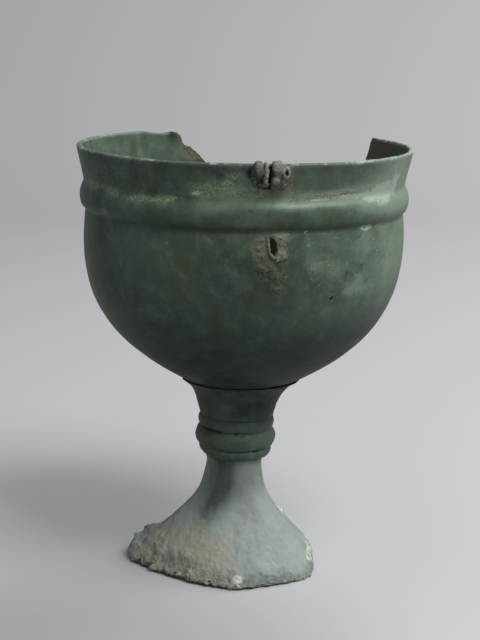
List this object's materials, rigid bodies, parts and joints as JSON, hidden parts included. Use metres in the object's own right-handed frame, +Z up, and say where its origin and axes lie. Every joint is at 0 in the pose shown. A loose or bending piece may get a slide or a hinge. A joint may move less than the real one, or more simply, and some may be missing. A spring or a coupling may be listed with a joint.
{
  "type": "footed bronze chalice",
  "caption": "Round bronze cup with a banded flaring rim on a ringed stem and a broken bell foot, with the remains of a hinged arm on its front.",
  "frame": {"origin": "bottom centre of the bounding box, on the surface the cup stands on", "axes": "+Z up through the cup, -Y towards the front with the hinge remains, +X to the right seen from the front"},
  "size_m": [0.1224, 0.1256, 0.16],
  "materials": {
    "bowl_bronze": "satin",
    "stem_bronze": "satin",
    "foot_bronze": "matte",
    "fitting_bronze": "satin",
    "solder": "matte"
  },
  "bodies": {
    "root": {"bowl": "bowl_bronze", "seam_solder": "solder", "stem": "stem_bronze", "knop_upper_ring": "stem_bronze", "knop": "stem_bronze", "knop_lower_ring": "stem_bronze", "foot": "foot_bronze", "tie_rivet": "stem_bronze", "rivet_washer": "stem_bronze", "hinge_saddle": "fitting_bronze", "hinge_leaf": "fitting_bronze", "hinge_pin_left": "fitting_bronze", "hinge_pin_right": "fitting_bronze", "lower_mount_bed": "solder", "torn_plate": "fitting_bronze"}
  },
  "joints": []
}
